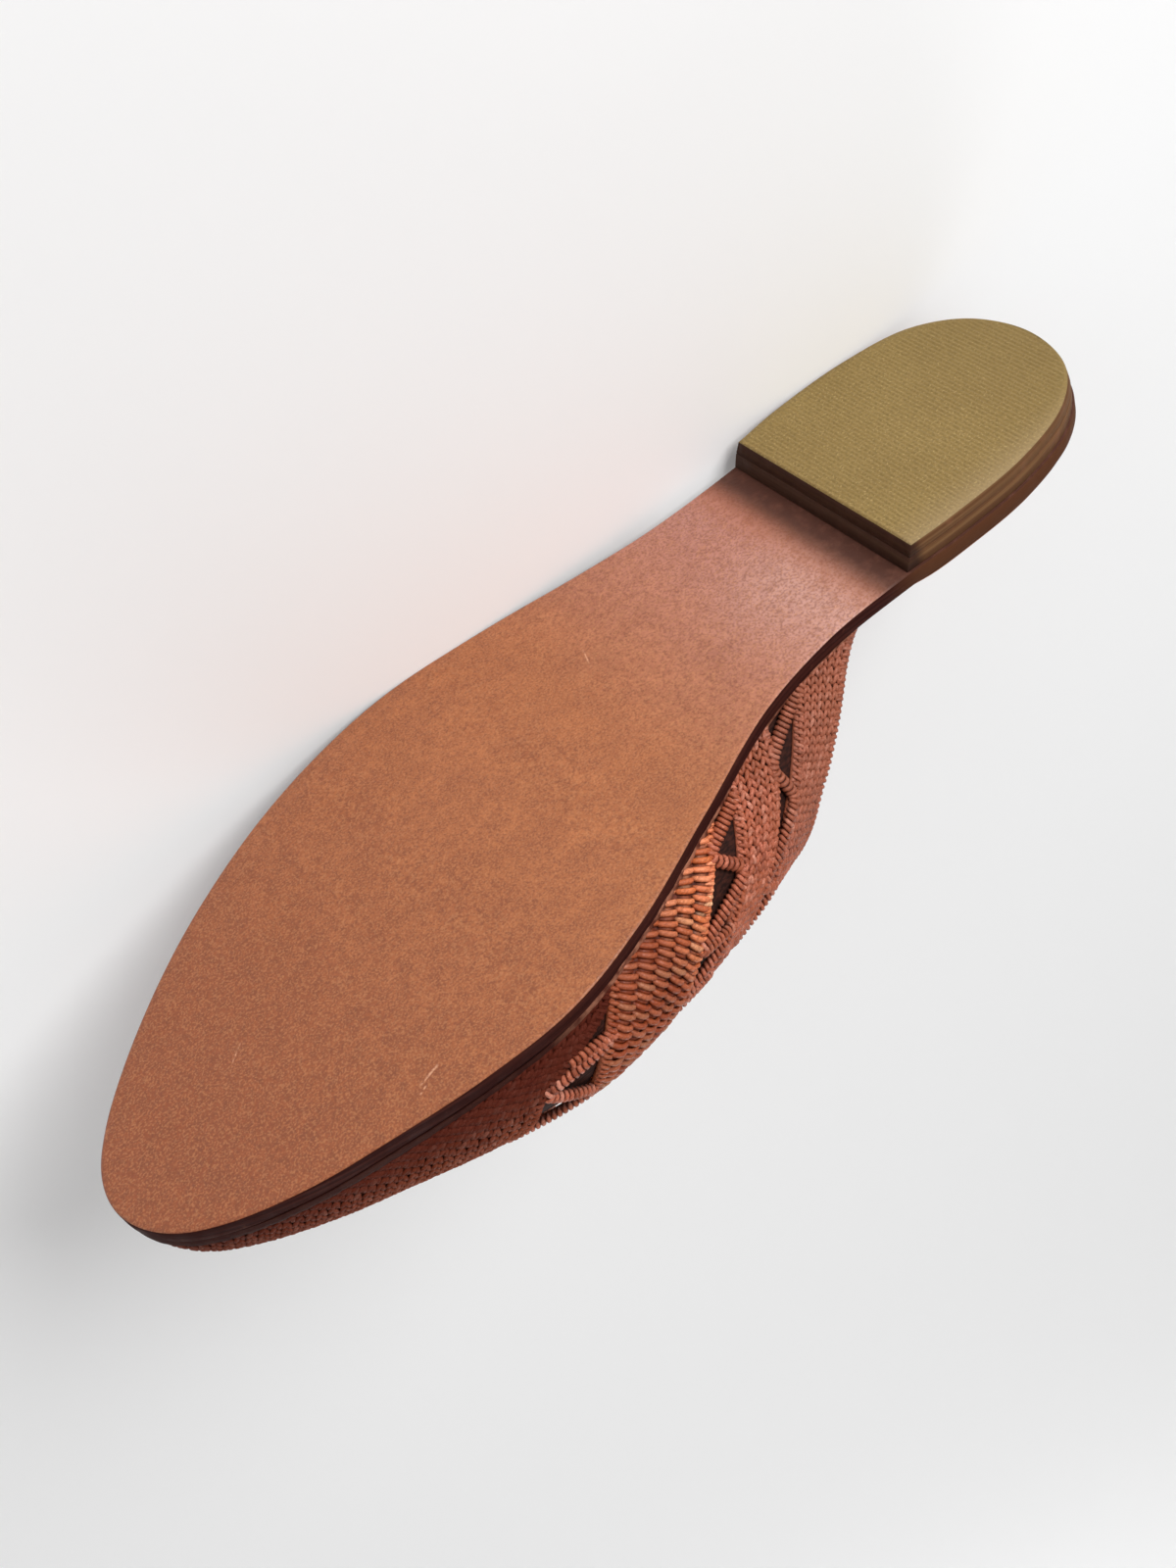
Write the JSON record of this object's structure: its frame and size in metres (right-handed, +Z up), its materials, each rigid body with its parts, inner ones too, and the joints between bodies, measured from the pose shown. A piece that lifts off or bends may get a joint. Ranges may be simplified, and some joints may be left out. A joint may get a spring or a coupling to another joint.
{
  "type": "woven raffia mule",
  "caption": "Flat slip-on mule, left foot: leather sole with a low heel, closed almond toe and a crocheted raffia upper with open zigzag bands.",
  "frame": {"origin": "centre of the bounding box on the floor, the shoe lying on its outer side", "axes": "+X from heel to toe along the floor, -Y the way the sole's underside faces, +Z up, towards the inner side of the foot"},
  "size_m": [0.2578, 0.0576, 0.1015],
  "materials": {
    "sole_leather": "smooth, satin, edge painted dark brown",
    "heel_leather": "stacked and painted, satin",
    "lift_rubber": "matt, fine ribs across",
    "footbed_leather": "smooth, satin",
    "raffia": "crocheted, matt with a slight gloss on each strand"
  },
  "bodies": {
    "root": {"outsole": "sole_leather", "heel_block": "heel_leather", "top_lift": "lift_rubber", "insole": "footbed_leather", "upper": "raffia"}
  },
  "joints": []
}
